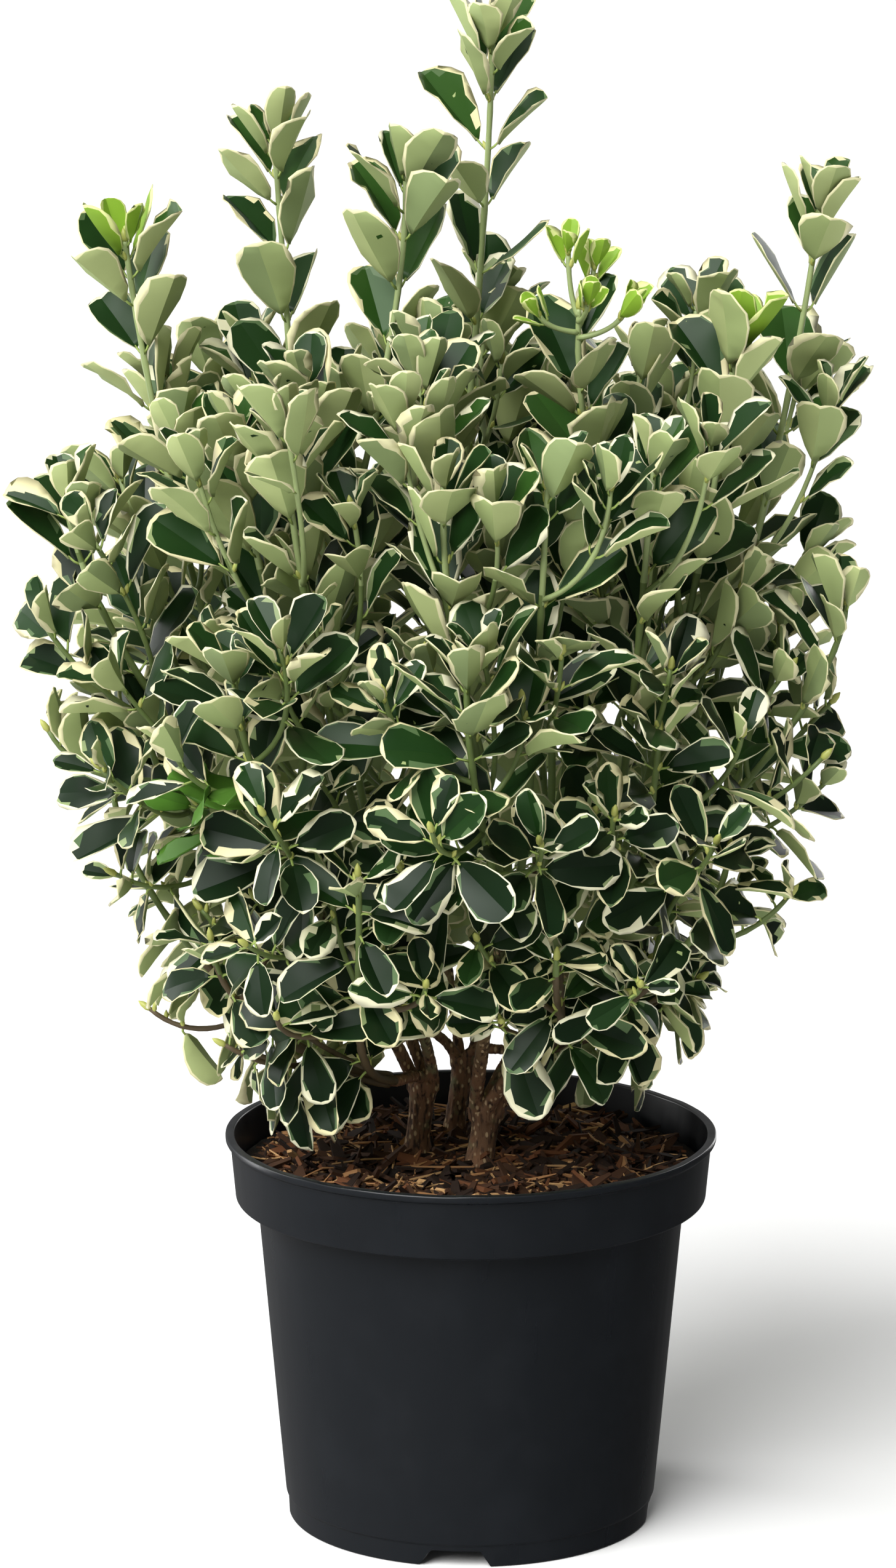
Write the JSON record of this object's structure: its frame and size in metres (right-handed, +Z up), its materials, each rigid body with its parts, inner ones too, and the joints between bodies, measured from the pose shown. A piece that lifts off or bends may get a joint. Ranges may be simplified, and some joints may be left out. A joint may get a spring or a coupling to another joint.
{
  "type": "potted japanese spindle",
  "caption": "Young upright evergreen shrub with pale-edged leaves in crossed pairs, on short woody trunks, standing in a round tapered black nursery pot with bark mulch.",
  "frame": {"origin": "centre of the pot's underside, on the ground", "axes": "+Z up along the pot's axis, -Y towards the side the plant is seen from"},
  "size_m": [0.4801, 0.478, 0.863],
  "materials": {
    "pot_plastic": "satin black injection-moulded plastic",
    "bark_mulch": "rough shredded bark on dark compost",
    "brown_bark": "matte grey-brown bark with shallow cracks",
    "variegated_leaf": "waxy evergreen leaves, dark green with cream edges above and sage green below"
  },
  "bodies": {
    "root": {"bough_high_1": "brown_bark", "bough_high_2": "brown_bark", "bough_high_3": "brown_bark", "bough_high_4": "brown_bark", "bough_high_5": "brown_bark", "bough_high_6": "brown_bark", "bough_high_7": "brown_bark", "bough_high_8": "brown_bark", "bough_low_1": "brown_bark", "bough_low_2": "brown_bark", "bough_low_3": "brown_bark", "bough_low_4": "brown_bark", "compost": "bark_mulch", "foliage_crown_1": "variegated_leaf", "foliage_crown_10": "variegated_leaf", "foliage_crown_11": "variegated_leaf", "foliage_crown_12": "variegated_leaf", "foliage_crown_13": "variegated_leaf", "foliage_crown_14": "variegated_leaf", "foliage_crown_15": "variegated_leaf", "foliage_crown_16": "variegated_leaf", "foliage_crown_17": "variegated_leaf", "foliage_crown_18": "variegated_leaf", "foliage_crown_19": "variegated_leaf", "foliage_crown_2": "variegated_leaf", "foliage_crown_20": "variegated_leaf", "foliage_crown_21": "variegated_leaf", "foliage_crown_22": "variegated_leaf", "foliage_crown_23": "variegated_leaf", "foliage_crown_24": "variegated_leaf", "foliage_crown_3": "variegated_leaf", "foliage_crown_4": "variegated_leaf", "foliage_crown_5": "variegated_leaf", "foliage_crown_6": "variegated_leaf", "foliage_crown_7": "variegated_leaf", "foliage_crown_8": "variegated_leaf", "foliage_crown_9": "variegated_leaf", "foliage_middle_1": "variegated_leaf", "foliage_middle_2": "variegated_leaf", "foliage_middle_3": "variegated_leaf", "foliage_middle_4": "variegated_leaf", "foliage_middle_5": "variegated_leaf", "foliage_middle_6": "variegated_leaf", "foliage_middle_7": "variegated_leaf", "foliage_middle_8": "variegated_leaf", "foliage_middle_9": "variegated_leaf", "foliage_skirt_1": "variegated_leaf", "foliage_skirt_10": "variegated_leaf", "foliage_skirt_2": "variegated_leaf", "foliage_skirt_3": "variegated_leaf", "foliage_skirt_4": "variegated_leaf", "foliage_skirt_5": "variegated_leaf", "foliage_skirt_6": "variegated_leaf", "foliage_skirt_7": "variegated_leaf", "foliage_skirt_8": "variegated_leaf", "foliage_skirt_9": "variegated_leaf", "pot": "pot_plastic", "trunk_left": "brown_bark", "trunk_rear": "brown_bark", "trunk_right": "brown_bark"}
  },
  "joints": []
}
